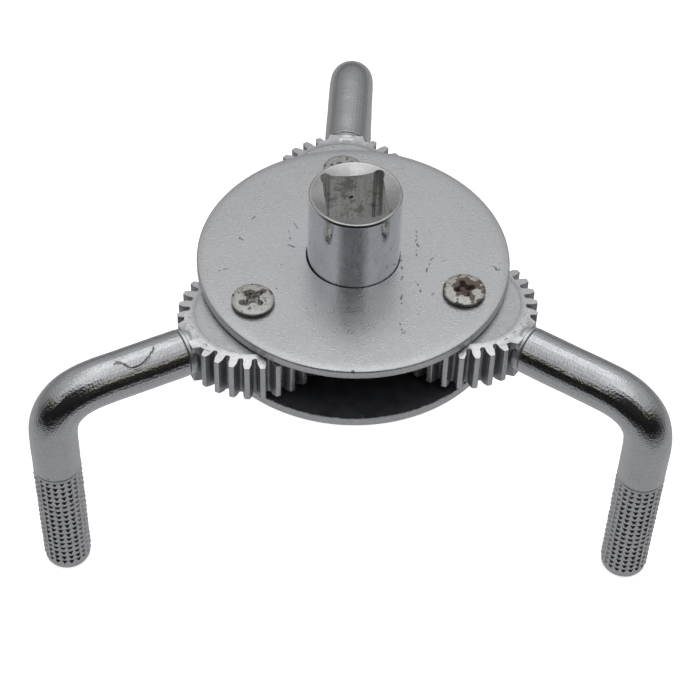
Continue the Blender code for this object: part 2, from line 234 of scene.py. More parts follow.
def lathe(name, profile, segments, sharp=30):
    """A closed outline of (radius, height) points turned about Z."""
    shape = bmesh.new()
    rings = []
    for radius, height in profile:
        spots = ring_points(radius, segments if radius > AXIS else 1)
        rings.append([shape.verts.new((*spot, height)) for spot in spots])
    for near, far in zip(rings, rings[1:] + rings[:1]):
        if len(near) == 1 and len(far) == 1:
            continue
        for step in range(segments):
            after = (step + 1) % segments
            corners = [near[step % len(near)], near[after % len(near)]]
            corners += [far[after % len(far)], far[step % len(far)]]
            shape.faces.new(list(dict.fromkeys(corners)))
    return finished(name, shape, sharp)


def prism(name, outline, bottom, top, taper=1.0):
    """An outline of (x, y) points drawn out along Z, its lower end scaled by the taper."""
    shape = bmesh.new()
    low = [shape.verts.new((x * taper, y * taper, bottom)) for x, y in outline]
    high = [shape.verts.new((x, y, top)) for x, y in outline]
    shape.faces.new(list(reversed(low)))
    shape.faces.new(high)
    band(shape, low, high)
    return finished(name, shape)


def arc(centre_radius, centre_height, radius, start, end, steps):
    """Profile points on an arc, by angles in degrees from outward."""
    turns = [radians(start + (end - start) * step / steps) for step in range(steps + 1)]
    spots = [polar(radius, turn) for turn in turns]
    return [(centre_radius + x, centre_height + y) for x, y in spots]


def beside(x, y, *offsets):
    """Profile points beside a corner, by their offsets in millimetres."""
    return [(x + across * MM, y + up * MM) for across, up in offsets]


def solid(name, data, place=None):
    """A loose object, for use as a piece, as a tool or in the studio."""
    thing = bpy.data.objects.new(name, data)
    bpy.context.scene.collection.objects.link(thing)
    if place is not None:
        thing.matrix_world = place
    return thing


def cut(thing, tool, operation="DIFFERENCE"):
    """Apply a Boolean to a piece's mesh and delete the tool."""
    modifier = thing.modifiers.new("cut", "BOOLEAN")
    modifier.operation = operation
    modifier.solver = "EXACT"
    modifier.object = tool
    bpy.context.view_layer.update()
    evaluated = thing.evaluated_get(bpy.context.evaluated_depsgraph_get())
    mesh = bpy.data.meshes.new_from_object(evaluated)
    thing.modifiers.remove(modifier)
    thing.data = mesh
    bpy.data.objects.remove(tool, do_unlink=True)


def settle(thing, place):
    """Move a piece's mesh into the row frame, so that its own coordinates are the frame's."""
    thing.data.transform(place)
    thing.matrix_world = Matrix.Identity(4)


def reshade(thing, sharp=30):
    """Weld the slivers that Booleans leave, then smooth the shading again."""
    shape = bmesh.new()
    shape.from_mesh(thing.data)
    bmesh.ops.remove_doubles(shape, verts=shape.verts, dist=SLIVER)
    bmesh.ops.dissolve_degenerate(shape, edges=shape.edges, dist=SLIVER)
    shape.to_mesh(thing.data)
    shape.free()
    thing.data.shade_smooth()
    thing.data.set_sharp_from_angle(angle=radians(sharp))


def set_looks(thing, *looks):
    """Give a piece its materials, keeping the slot that each face already has."""
    slots = [face.material_index for face in thing.data.polygons]
    thing.data.materials.clear()
    for look in looks:
        thing.data.materials.append(look)
    for face, slot in zip(thing.data.polygons, slots):
        face.material_index = min(slot, len(looks) - 1)


def adopt(thing, looks, body, node):
    """Give a piece its materials, and let it stand for a CAD node and ride on its body."""
    set_looks(thing, *looks)
    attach(thing, body)
    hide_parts(node)


# Materials

class Nodes:
    """A node tree, with short ways to add to it."""

    def __init__(self, tree):
        self.tree = tree
        tree.nodes.clear()

    def feed(self, socket, value):
        """Link a socket, or set its number, vector or colour."""
        if isinstance(value, bpy.types.NodeSocket):
            self.tree.links.new(value, socket)
        elif socket.type == "RGBA":
            socket.default_value = (*value, 1)
        else:
            socket.default_value = value

    def add(self, kind, inputs, **settings):
        """A new node with its settings and inputs."""
        node = self.tree.nodes.new(f"ShaderNode{kind}")
        for name, value in settings.items():
            setattr(node, name, value)
        for name, value in inputs.items():
            self.feed(node.inputs[name], value)
        return node

    def math(self, operation, first, second=0.0):
        return self.add("Math", {0: first, 1: second}, operation=operation).outputs["Value"]

    def times(self, first, second):
        return self.math("MULTIPLY", first, second)

    def apart(self, first, second):
        """How far two values are from each other."""
        return self.math("ABSOLUTE", self.math("SUBTRACT", first, second))

    def split(self, vector):
        """The three parts of a vector."""
        return list(self.add("SeparateXYZ", {"Vector": vector}).outputs)

    def ease(self, value, low, high, to_low=0.0, to_high=1.0):
        """Map a value's range to another, clamped and eased."""
        ends = {"Value": value, "From Min": low, "From Max": high, "To Min": to_low, "To Max": to_high}
        return self.add("MapRange", ends, interpolation_type="SMOOTHSTEP").outputs["Result"]

    def below(self, value, low, high):
        """1 up to the low end of a range, 0 from its high end."""
        return self.ease(value, low, high, 1.0, 0.0)

    def blend(self, share, first, second):
        """Mix two colours."""
        node = self.add("Mix", {"Factor": share}, data_type="RGBA")
        colours = [socket for socket in node.inputs if socket.type == "RGBA"]
        self.feed(colours[0], first)
        self.feed(colours[1], second)
        return [socket for socket in node.outputs if socket.type == "RGBA"][0]


class Look(Nodes):
    """A material, built up from a colour with paint, roughness and bumps."""

    def __init__(self, name, colour, roughness, metallic=1.0):
        self.material = bpy.data.materials.new(name)
        self.material.use_nodes = True
        super().__init__(self.material.node_tree)
        self.shader = self.add("BsdfPrincipled", {"Metallic": metallic})
        self.add("OutputMaterial", {"Surface": self.shader.outputs["BSDF"]})
        self.place = self.add("TexCoord", {}).outputs["Object"]
        self.normal = None
        self.own_colour = colour
        self.colour = colour
        self.roughness = roughness

    def stretched(self, scale, turn=0.0, centre=(0, 0, 0)):
        """Object coordinates measured from a centre, turned about Z and scaled."""
        moved = self.add("VectorMath", {0: self.place, 1: centre}, operation="SUBTRACT")
        inputs = {"Vector": moved.outputs["Vector"], "Rotation": (0, 0, turn), "Scale": scale}
        return self.add("Mapping", inputs, vector_type="POINT").outputs["Vector"]

    def radius(self, centre=(0, 0, 0)):
        """Distance from a vertical axis."""
        flat = self.stretched((1, 1, 0), 0.0, centre)
        return self.add("VectorMath", {0: flat}, operation="LENGTH").outputs["Value"]

    def noise(self, size, detail=2.0, rough=0.5, where=None):
        """Noise with features of about the given size in millimetres."""
        inputs = {"Vector": where or self.place, "Scale": 1 / (size * MM)}
        inputs.update({"Detail": detail, "Roughness": rough})
        return self.add("TexNoise", inputs).outputs["Fac"]

    def streaks(self, wide, tall, detail, rough):
        """Noise with one size in millimetres across the axis and another along it."""
        across = 1 / (wide * MM)
        where = self.stretched((across, across, 1 / (tall * MM)))
        return self.noise(1 / MM, detail, rough, where)

    def paint(self, share, colour):
        """Lay a colour, or a multiple of the look's own colour, over what is there."""
        if isinstance(colour, float):
            colour = [part * colour for part in self.own_colour]
        self.colour = self.blend(share, self.colour, colour)

    def mottle(self, size, detail, low, high, share, colour, rough=0.5):
        """Paint up to a share of a colour where noise rises from low to high."""
        self.paint(self.ease(self.noise(size, detail, rough), low, high, 0.0, share), colour)

    def bump(self, height, depth):
        """Raise the surface by a height from 0 to 1 times a depth in metres."""
        inputs = {"Strength": 1.0, "Distance": depth, "Height": height}
        if self.normal is not None:
            inputs["Normal"] = self.normal
        self.normal = self.add("Bump", inputs).outputs["Normal"]

    def grain(self, size, detail, depth):
        """Raise the surface by noise."""
        self.bump(self.noise(size, detail), depth)

    def done(self):
        """Join everything to the shader."""
        self.feed(self.shader.inputs["Base Color"], self.colour)
        self.feed(self.shader.inputs["Roughness"], self.roughness)
        if self.normal is not None:
            self.feed(self.shader.inputs["Normal"], self.normal)
        return self.material


def satin_plate(name, colour, grain=1.0, scratches=True):
    """Zinc plate over blasted sheet: a fine grain, soft mottling, and marks if wanted."""
    look = Look(name, colour, 0.3, 0.88)
    look.mottle(14, 3, 0.35, 0.7, 0.35, 0.88)
    look.mottle(0.5, 2, 0.4, 0.64, 0.45, 1.16)
    look.roughness = look.ease(look.noise(2.2, 3), 0.3, 0.7, 0.26, 0.33)
    look.grain(7, 2, 30e-6)
    look.grain(0.42, 1.5, 50e-6 * grain)
    if scratches:
        add_marks(look)
    return look.done()


def add_marks(look):
    """Dark specks in patches, stray hairlines, and the scratches of the list."""
    speck = look.ease(look.noise(0.5, 2), 0.68, 0.73)
    patch = look.ease(look.noise(8, 2), 0.52, 0.6)
    look.paint(look.times(speck, patch), 0.3)
    hairline = look.below(look.apart(look.noise(7, 2), 0.5), 0.004, 0.009)
    marks = look.times(hairline, look.ease(look.noise(3.5, 1), 0.66, 0.7))
    for x, y, heading, length, bow in SCRATCHES:
        mark = scratch(look, (x * MM, y * MM, 0), radians(heading), length * MM, bow / MM)
        marks = look.math("MAXIMUM", marks, mark)
    look.paint(look.times(marks, 0.92), 0.22)
    look.bump(look.times(marks, -1.0), 12e-6)


def scratch(look, middle, heading, length, bow):
    """1 on a thin, broken and wandering line on the plate, 0 elsewhere."""
    along, across, _ = look.split(look.stretched((1, 1, 1), -heading, middle))
    bent = look.times(look.times(along, along), bow)
    wander = look.times(look.math("SUBTRACT", look.noise(2, 2), 0.5), 1.6 * MM)
    apart = look.apart(look.math("SUBTRACT", across, bent), wander)
    line = look.below(apart, 0.08 * MM, 0.2 * MM)
    within = look.below(look.math("ABSOLUTE", along), length * 0.42, length * 0.5)
    broken = look.ease(look.noise(1.1, 2), 0.46, 0.54)
    return look.times(line, look.times(within, broken))


def painted_shade_inside(name):
    """Painted shade: a near-black look for the unlit inner faces of the head and the holes of the detents."""
    look = Look(name, (0.058, 0.06, 0.07), 0.5, 0.0)
    look.mottle(3, 3, 0.4, 0.65, 1.0, (0.036, 0.038, 0.046))
    look.grain(0.4, 2, 12e-6)
    return look.done()


def turned_steel(name, colour, roughness, cloud=0.3):
    """Bright turned steel with faint tool lines round the axis."""
    look = Look(name, colour, roughness)
    look.mottle(6, 2, 0.4, 0.65, cloud, 0.7)
    look.mottle(0.5, 1.5, 0.42, 0.62, 0.3, 1.14)
    look.roughness = look.ease(look.noise(1.5, 2), 0.3, 0.7, roughness * 0.8, roughness * 1.3)
    look.bump(look.streaks(30, 0.12, 2, 0.6), 1.2e-6)
    look.grain(1.6, 2, 22e-6)
    look.grain(0.5, 1, 16e-6)
    return look.done()


def broached_steel(name):
    """The square's walls: duller, with drawn marks along the axis, dark patches, and painted shade in the corner
    reliefs.
    """
    look = Look(name, (0.93, 0.93, 0.925), 0.5, 0.3)
    marks = look.streaks(0.6, 5, 2, 0.6)
    look.paint(look.ease(marks, 0.45, 0.7, 0.0, 0.4), (0.5, 0.495, 0.49))
    look.mottle(2.6, 4, 0.5, 0.66, 0.65, (0.22, 0.215, 0.21), 0.6)
    look.mottle(0.6, 3, 0.56, 0.7, 0.6, (0.3, 0.3, 0.29))
    look.mottle(0.9, 2, 0.6, 0.7, 0.6, (0.85, 0.85, 0.83))
    half = SQUARE / 2
    # Painted shade in the corner reliefs, broken into streaks.
    at_corner = look.ease(look.radius(), half * 1.2, half * 1.3)
    corner_shade_streaks = look.ease(look.streaks(0.7, 30, 1, 0.5), 0.4, 0.6, 0.2, 0.8)
    look.paint(look.times(at_corner, corner_shade_streaks), (0.14, 0.14, 0.145))
    look.roughness = look.ease(marks, 0.3, 0.7, 0.36, 0.6)
    look.bump(marks, 20e-6)
    look.grain(1.6, 3, 120e-6)
    look.grain(0.5, 2, 34e-6)
    return look.done()


def scuff(look, place):
    """A wandering line pressed into the rod's upper side, and the ragged edges beside it."""
    along, across, height = look.split(place)
    share = look.math("DIVIDE", look.math("SUBTRACT", along, SCUFF_START), SCUFF_END - SCUFF_START)
    node = look.add("FloatCurve", {"Value": share})
    curve = node.mapping.curves[0]
    for spot in SCUFF_POINTS[1:-1]:
        curve.points.new(*spot)
    curve.points[0].location = SCUFF_POINTS[0]
    curve.points[-1].location = SCUFF_POINTS[-1]
    node.mapping.update()
    turn = look.math("ARCTAN2", across, look.math("SUBTRACT", height, ROD_HEIGHT))
    apart = look.apart(turn, look.times(node.outputs["Value"], SCUFF_TURN))
    shown = look.times(look.ease(share, 0.0, 0.04), look.below(share, 0.96, 1.0))
    line = look.below(apart, 0.07 * MM / ROD_RADIUS, 0.2 * MM / ROD_RADIUS)
    beyond = look.apart(apart, 0.34 * MM / ROD_RADIUS)
    edge = look.below(beyond, 0.05 * MM / ROD_RADIUS, 0.15 * MM / ROD_RADIUS)
    return look.times(line, shown), look.times(edge, shown)


def plated_rod(name, grain, scuff_heading=None, scuff_centre=(0, 0, 0)):
    """Bright plate over a slightly lumpy rod, with a wandering scuff if a heading is given."""
    look = Look(name, (0.575, 0.583, 0.61), 0.13)
    look.mottle(5, 3, 0.4, 0.7, 0.3, 0.86)
    look.mottle(0.45, 2, 0.42, 0.62, 0.5, 1.18)
    look.roughness = look.ease(look.noise(1.6, 3), 0.35, 0.7, 0.10, 0.2)
    look.grain(1.7, 2, 36e-6 * grain)
    look.grain(0.42, 1.5, 68e-6 * grain)
    pits = look.ease(look.noise(0.9, 1), 0.76, 0.8)
    look.paint(look.times(pits, 0.7), (0.12, 0.12, 0.12))
    if scuff_heading is not None:
        line, edge = scuff(look, look.stretched((1, 1, 1), -scuff_heading, scuff_centre))
        ragged = look.times(edge, look.ease(look.noise(0.8, 2), 0.4, 0.55))
        look.paint(look.times(line, 0.9), (0.11, 0.105, 0.1))
        look.paint(look.times(ragged, 0.8), (0.25, 0.24, 0.23))
        look.bump(look.times(line, -1.0), 60e-6)
        look.bump(ragged, 30e-6)
    return look.done()


def gear_steel(name, colour, roughness=0.33):
    """Pressed and plated gear steel: satin, mottled, with a few dark nicks."""
    look = Look(name, colour, roughness, 0.85)
    look.mottle(4, 3, 0.4, 0.7, 0.4, 0.86)
    look.mottle(0.6, 2, 0.4, 0.65, 0.4, 1.15)
    look.mottle(1.1, 2, 0.69, 0.75, 0.7, 0.35)
    look.roughness = look.ease(look.noise(1.8, 3), 0.3, 0.7, roughness * 0.75, roughness * 1.15)
    look.grain(2.5, 2, 50e-6)
    look.grain(0.5, 2, 36e-6)
    return look.done()


def worn_screw(name, centre, brown, colour):
    """A zinc head, brown where the plate has gone, its side darker with grime and painted shade, and a painted
    contact shadow at its foot.
    """
    look = Look(name, colour, 0.42, 0.7)
    look.mottle(1.2, 3, 0.42, 0.62, 0.5, 0.76)
    away = look.radius(centre)
    inner = look.ease(away, 2.0 * MM, 3.5 * MM, brown, brown * 0.25)
    brink = look.ease(away, 3.8 * MM, 4.3 * MM, 0.0, brown * 0.35)
    patches = look.math("ADD", look.noise(2.2, 3), look.math("ADD", inner, brink))
    worn = look.ease(patches, 0.63, 0.68)
    look.paint(worn, (0.21, 0.165, 0.145))
    look.mottle(0.9, 3, 0.62, 0.68, 1.0, (0.12, 0.11, 0.105))
    height = look.split(look.place)[2]
    edge = top_high.z + HEAD_SIDE
    # The side is darkened, part grime and part painted shade.
    side = look.below(height, edge - 0.14 * MM, edge + 0.02 * MM)
    look.paint(look.times(side, 0.9), (0.16, 0.143, 0.132))
    # A painted contact shadow where the head meets the plate.
    foot_shadow = look.below(height, top_high.z + 0.15 * MM, top_high.z + 0.6 * MM)
    look.paint(look.times(foot_shadow, 0.9), (0.03, 0.028, 0.026))
    look.roughness = look.ease(worn, 0.0, 1.0, 0.36, 0.6)
    look.bump(look.times(worn, -1.0), 60e-6)
    look.grain(1.5, 2, 160e-6)
    look.grain(0.5, 3, 60e-6)
    return look.done()


def worn_recess(name, colour, bright):
    """A chewed cross recess, part grime and part pale spots, which are partly bare steel where the driver has
    slipped and partly painted glints.
    """
    look = Look(name, colour, 0.55, 0.3)
    look.mottle(0.9, 3, 0.44, 0.58, 0.9, (0.07, 0.055, 0.05))
    # Pale spots: partly bare steel, partly painted glints.
    look.mottle(0.5, 1, 0.6, 0.66, bright, (0.85, 0.85, 0.83))
    look.grain(0.5, 3, 120e-6)
    return look.done()


def drawn_steel(name):
    """Plain bright steel of the small pieces in the head."""
    look = Look(name, (0.45, 0.45, 0.46), 0.3)
    lines = look.streaks(4, 0.2, 2, 0.5)
    look.mottle(1.4, 3, 0.45, 0.7, 0.5, (0.25, 0.24, 0.23))
    look.roughness = look.ease(lines, 0.3, 0.7, 0.22, 0.4)
    look.bump(lines, 4e-6)
    return look.done()


# The plates

def crowned_profile(low, high, hole):
    """The top plate: a flat middle, a crown towards the edge and a rolled upper corner."""
    outer = PLATE_RADIUS - EDGE_ROUNDING
    edge_top = high - CROWN_DROP - ROLL_DROP
    profile = [(hole, low)] + beside(PLATE_RADIUS, low, (-0.25, 0), (0, 0.12), (-0.05, 0.35))
    profile += arc(outer, edge_top - EDGE_ROUNDING, EDGE_ROUNDING, 0, 80, 6)
    for step in reversed(range(CROWN_STEPS + 1)):
        share = (step / CROWN_STEPS) ** 0.4
        drop = CROWN_DROP * share ** 2 + ROLL_DROP * share ** 16
        profile.append((CROWN_START + (outer - CROWN_START) * share, high - drop))
    return profile + [(FLAT_RING, high)] + beside(hole, high, (0.15, 0), (0, -0.15))


def sheared_profile(low, high, hole):
    """The bottom plate: a rolled lower corner and a sheared upper one, where its burr stands."""
    edge = PLATE_RADIUS
    profile = [(hole, low), (FLAT_RING, low)]
    profile += arc(edge - EDGE_ROUNDING, low + EDGE_ROUNDING, EDGE_ROUNDING, -90, 0, 6)
    profile += beside(edge, high, (-0.03, -0.75), (0, -0.55), (-0.02, -0.1), (-0.12, 0.02))
    return profile + beside(edge, high, (-0.3, -0.05), (-0.8, 0), (-1.1, 0)) + [(hole, high)]


def raise_burr(mesh, high):
    """Make the sheared corner uneven, with a ragged lip."""
    for vertex in mesh.vertices:
        spot = vertex.co
        if spot.to_2d().length < PLATE_RADIUS - 0.9 * MM or spot.z < high - 0.9 * MM:
            continue
        ragged = noise.noise(spot / (1.3 * MM)) + 0.8 * noise.noise(spot / (0.5 * MM))
        if spot.z > high - 0.12 * MM:
            vertex.co.z += BURR * max(0.0, ragged)
        outward = Vector((spot.x, spot.y, 0)).normalized()
        vertex.co -= outward * 0.09 * MM * (0.4 + ragged)


def make_plate(name, mesh, outer_look, inner_shade_look, inner_side):
    """A plate with its screw holes, with painted shade on the side that faces the gap."""
    low, high = (corner.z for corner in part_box(name))
    plate = solid(f"{name}_skin", mesh)
    for pivot in PIVOTS.values():
        outline = ring_points(SCREW_HOLE, HOLE_STEPS, HOLE_LEAD, pivot)
        cut(plate, solid("hole", prism("hole", outline, low - MM, high + MM)))
    reshade(plate)
    # Faces towards the gap take the near-black painted shade.
    for face in plate.data.polygons:
        inside = face.normal.z * inner_side > 0.9
        within = face.center.to_2d().length < PLATE_RADIUS - 0.25 * MM
        face.material_index = 1 if inside and within else 0
    adopt(plate, (outer_look, inner_shade_look), "head", name)


# The gears

def involute(angle):
    """How far an involute has turned where its pressure angle is this one."""
    return tan(angle) - angle


def flank_points(teeth, slack):
    """Radii up one side of a tooth, each with the tooth's half angle there."""
    pitch = MODULE * teeth / 2
    base = pitch * cos(PRESSURE_ANGLE)
    tip = pitch + ADDENDUM
    root = pitch - ROOT_DEPTH
    pitch_half = (pi * MODULE / 2 - slack) / 2 / pitch

    def half(radius):
        return pitch_half + involute(PRESSURE_ANGLE) - involute(acos(min(1, base / radius)))

    points = []
    for turn in (0, 30, 60, 90):
        away = ROOT_FILLET * (1 - sin(radians(turn)))
        rise = ROOT_FILLET * (1 - cos(radians(turn)))
        points.append((root + rise, half(base) + away / root))
    start = max(base, root + ROOT_FILLET)
    end = tip - TIP_ROUNDING
    for step in range(1, FLANK_STEPS + 1):
        radius = start + (end - start) * step / FLANK_STEPS
        points.append((radius, half(radius)))
    for turn in (35, 65, 90):
        radius = end + TIP_ROUNDING * sin(radians(turn))
        inset = TIP_ROUNDING * (1 - cos(radians(turn)))
        points.append((radius, half(end) - inset / tip))
    return points


def gear_outline(teeth, slack):
    """Outline points of a gear with a tooth on +X; the last point of each tooth is in the root."""
    flank = flank_points(teeth, slack)
    step = 2 * pi / teeth
    outline = []
    for tooth in range(teeth):
        centre = step * tooth
        outline += [polar(radius, centre - half) for radius, half in flank]
        outline += [polar(radius, centre + half) for radius, half in reversed(flank)]
        outline.append(polar(flank[0][0], centre + step / 2))
    return outline


def inset_outline(outline, distance):
    """The outline moved inwards along its own normals."""
    moved = []
    count = len(outline)
    for index, (x, y) in enumerate(outline):
        before = Vector(outline[index - 1])
        after = Vector(outline[(index + 1) % count])
        along = (after - before).normalized()
        moved.append((x - along.y * distance, y + along.x * distance))
    return moved


def hub_face(shape, edge, inner, height, side):
    """Close one end of the planet as far as its bore: tooth ends, the hub's step and its face."""
    per_tooth = len(inner) // PLANET_TEETH
    last = per_tooth - 2
    starts = [tooth * per_tooth for tooth in range(PLANET_TEETH)]
    for start in starts:
        for rung in range(per_tooth // 2 - 1):
            corners = (rung, rung + 1, last - 1 - rung, last - rung)
            shape.faces.new([edge[start + corner] for corner in corners])
    roots = [start + offset for start in starts for offset in (0, last, last + 1)]

    def circle(radius, level):
        """Three points for each tooth: below its two roots, and between it and the next."""
        points = []
        for x, y in (inner[root] for root in roots):
            scale = radius / Vector((x, y)).length
            points.append(shape.verts.new((x * scale, y * scale, level)))
        return points

    rings = [[edge[root] for root in roots]]
    rings.append(circle(HUB_FACE_RADIUS, height - side * HUB_STEP))
    rings.append(circle(HUB_FACE_RADIUS - HUB_BEVEL, height))
    rings.append(circle(PLANET_BORE, height))
    band(shape, *rings)
    return rings[-1]


def planet_mesh(name):
    """A planet gear about the Z axis, with broken tooth edges and raised hub faces."""
    shape = bmesh.new()
    outline = gear_outline(PLANET_TEETH, PLANET_SLACK)
    inner = inset_outline(outline, TOOTH_EDGE)
    high, low = hub_high.z, hub_low.z

    def ring(points, height, side, scale, inset=0.0):
        """Vertices on an outline, further from the hub's face towards the tips of the teeth."""
        vertices = []
        for point in points:
            fall = HUB_STEP + scale * TOOTH_FALL * (Vector(point).length - HUB_FACE_RADIUS)
            vertices.append(shape.verts.new((*point, height - side * fall - side * inset)))
        return vertices

    top_edge = ring(inner, high, 1, 1)
    top_wall = ring(outline, high, 1, 1, TOOTH_EDGE)
    low_wall = ring(outline, low, -1, 2, TOOTH_EDGE)
    low_edge = ring(inner, low, -1, 2)
    band(shape, top_edge, top_wall, low_wall, low_edge)
    top_bore = hub_face(shape, top_edge, inner, high, 1)
    low_bore = hub_face(shape, low_edge, inner, low, -1)
    band(shape, top_bore, low_bore)
    return finished(name, shape, 35)


def along_x(mesh):
    """Turn a mesh that runs along Z so that it runs along X, at the rods' height."""
    mesh.transform(Matrix.Translation((0, 0, ROD_HEIGHT)) @ turned(pi / 2, "Y"))
    return mesh


def collar_mesh():
    """The collar beyond the planet's teeth, with a fine line turned round its end."""
    end = COLLAR_REACH
    profile = [(0, 14.2 * MM), (4.6 * MM, 14.2 * MM), (COLLAR_RADIUS, 14.8 * MM)]
    profile += beside(COLLAR_RADIUS, end, (0, -0.78), (-0.07, -0.72), (-0.07, -0.66), (0.02, -0.6))
    profile += arc(COLLAR_RADIUS - 0.2 * MM, end - 0.2 * MM, 0.2 * MM, 0, 90, 3) + [(0, end)]
    mesh = along_x(lathe("collar", profile, 56))
    ceiling = hub_high.z - 0.02 * MM
    floor = hub_low.z + 0.3 * MM
    for vertex in mesh.vertices:
        vertex.co.z = max(floor, min(ceiling, vertex.co.z))
    return mesh


def web_mesh():
    """The solid rim that carries the collar, with a shallow space at each side of it."""
    corners = beside(0, 0, (11, -6), (12.9, -6)) + beside(0, -3.7 * MM, (13.9, -0.5), (15.5, 0))
    outline = corners + [(x, -y) for x, y in reversed(corners)]
    return prism("web", outline, hub_low.z + 0.5 * MM, hub_high.z - 0.3 * MM)


def arm_place(number):
    """The planet's axis and heading as a matrix."""
    away = TIPS[number] - PIVOTS[number]
    return Matrix.Translation(PIVOTS[number]) @ turned(atan2(away.y, away.x))


def slot_teeth(mesh):
    """Give the sides of the teeth, below their tips, slot 1 for painted shade, and the ends of the teeth slot 2
    for painted highlight.
    """
    pitch = MODULE * PLANET_TEETH / 2
    for face in mesh.polygons:
        reach = face.center.to_2d().length
        beside_tooth = pitch - ROOT_DEPTH - 0.1 * MM < reach < pitch + ADDENDUM - 0.1 * MM
        if abs(face.normal.z) < 0.8 and beside_tooth:
            face.material_index = 1
        elif abs(face.normal.z) > 0.9 and reach > HUB_FACE_RADIUS:
            face.material_index = 2


def make_planet(number, *looks):
    """A planet gear with its web, its collar and the hole for the rod's spigot."""
    name = f"planet_gear_{number}"
    gear = solid(f"{name}_skin", planet_mesh(name))
    cut(gear, solid("web", web_mesh()), "UNION")
    cut(gear, solid("collar", collar_mesh()), "UNION")
    outline = ring_points(SPIGOT_RADIUS + 0.05 * MM, HOLE_STEPS)
    hole = along_x(prism("rod_hole", outline, SPIGOT_START - 0.1 * MM, COLLAR_REACH + MM))
    cut(gear, solid("rod_hole", hole))
    slot_teeth(gear.data)
    settle(gear, arm_place(number))
    reshade(gear, 33)
    adopt(gear, looks, f"arm_{number}", name)


# The drive

def socket_outline():
    """The square with a round relief at each corner."""
    half = SQUARE / 2
    reach = (RELIEF_REACH - RELIEF_RADIUS) / 2 ** 0.5
    spread = acos((half - reach) / RELIEF_RADIUS)
    outline = []
    for corner in range(4):
        turn = Matrix.Rotation(pi / 2 * corner, 2)
        for step in range(RELIEF_STEPS + 1):
            angle = -spread + (pi / 2 + 2 * spread) * step / RELIEF_STEPS
            x, y = polar(RELIEF_RADIUS, angle)
            outline.append(tuple(turn @ Vector((reach + x, reach + y))))
    return outline


def drive_profile():
    """The journal, the sun's core and the post, from the axis round to the countersink."""
    rim = RIM_HEIGHT
    profile = [(0, 0)] + beside(JOURNAL_RADIUS, 0, (-0.3, 0), (0, 0.3))
    for radius, height in ((JOURNAL_RADIUS, SUN_LOW), (SUN_CORE, SUN_LOW)):
        profile += beside(radius, height, (0, 0.2))
    profile += beside(SUN_CORE, SUN_HIGH, (0, -0.2))
    profile += beside(POST_RADIUS, SUN_HIGH, (0, -0.2), (0, 0.2))
    profile += beside(POST_RADIUS, rim, (0, -0.75), (0, -0.6), (-0.012, -0.56), (-0.13, -0.26))
    bead = POST_RADIUS - 0.15 * MM - RIM_ROUNDING * cos(radians(30))
    profile += arc(bead, rim - RIM_ROUNDING, RIM_ROUNDING, 30, 112, 8)
    brink = rim - 0.1 * MM
    profile += beside(COUNTERSINK_RADIUS, brink, (-0.06, 0))
    return profile + [(0, brink - COUNTERSINK_RADIUS * tan(COUNTERSINK_SLOPE))]


def cut_detents(drive):
    """A shallow dimple with a small, tilted hole in it, in each wall of the square."""
    for side in range(4):
        for radius, depth in ((DIMPLE_RADIUS, DIMPLE_DEPTH), (DETENT_RADIUS, DETENT_DEPTH)):
            shape = bmesh.new()
            bmesh.ops.create_uvsphere(shape, u_segments=32, v_segments=20, radius=radius)
            reach = SQUARE / 2 - radius + depth
            place = turned(pi / 2 * side) @ Matrix.Translation((reach, 0, DETENT_HEIGHT))
            if radius == DETENT_RADIUS:
                place @= turned(DETENT_TILT, "X") @ Matrix.Diagonal((1, 1, DETENT_SQUASH, 1))
            cut(drive, solid("detent", finished("detent", shape), place))


def drive_slot(face):
    """Which look a face has: 0 post, 1 square, 2 sun gear in the darker gear copy as painted shade, 3 detent hole
    in near-black painted shade, 4 countersink.
    """
    centre = face.center
    reach = centre.to_2d().length
    if SUN_LOW - 0.1 * MM < centre.z < SUN_HIGH + 0.1 * MM and reach > SUN_CORE - 0.1 * MM:
        return 2
    if reach < RELIEF_REACH + 0.1 * MM and centre.z > SOCKET_FLOOR - 0.1 * MM:
        if abs(face.normal.z) > 0.8 and centre.z > SOCKET_FLOOR + MM:
            return 4
        near, far = sorted((abs(centre.x), abs(centre.y)))
        level = abs(centre.z - DETENT_HEIGHT) < DETENT_RADIUS
        deep = far > SQUARE / 2 + DIMPLE_DEPTH + 0.02 * MM
        # The detent hole takes the near-black painted shade.
        return 3 if level and deep and near < DETENT_RADIUS else 1
    return 4 if centre.z > RIM_HEIGHT - RIM_ROUNDING and face.normal.z > 0.55 else 0


def make_drive(*looks):
    """The drive with its sun gear, its square hole and the detents."""
    drive = solid("drive_socket_skin", lathe("drive_socket", drive_profile(), DRIVE_SEGMENTS))
    sun = prism("sun", gear_outline(SUN_TEETH, SUN_SLACK), SUN_LOW, SUN_HIGH)
    cut(drive, solid("sun", sun, turned(pi / 2 + SUN_TOOTH_OFFSET - DRIVE_TWIST)), "UNION")
    cut(drive, solid("square", prism("square", socket_outline(), SOCKET_FLOOR, RIM_HEIGHT + MM)))
    cut_detents(drive)
    reshade(drive)
    for face in drive.data.polygons:
        face.material_index = drive_slot(face)
    settle(drive, turned(DRIVE_TWIST))
    adopt(drive, looks, "drive", "drive_socket")


# The rods

def eased_bend(length, steps):
    """Points (reach, drop, turn) round a bend whose curvature comes and goes gently."""
    points = [(0.0, 0.0, 0.0)]
    piece = length / steps
    for step in range(steps):
        turn = pi / 2 * bend_share((step + 0.5) / steps)
        reach, drop, _ = points[-1]
        end_turn = pi / 2 * bend_share((step + 1) / steps)
        points.append((reach + piece * cos(turn), drop + piece * sin(turn), end_turn))
    return points


def bend_share(share):
    """How much of the bend's angle is reached at a share of its length."""
    eased = share ** 3 * (share * (6 * share - 15) + 10)
    return (1 - BEND_EASE) * share + BEND_EASE * eased


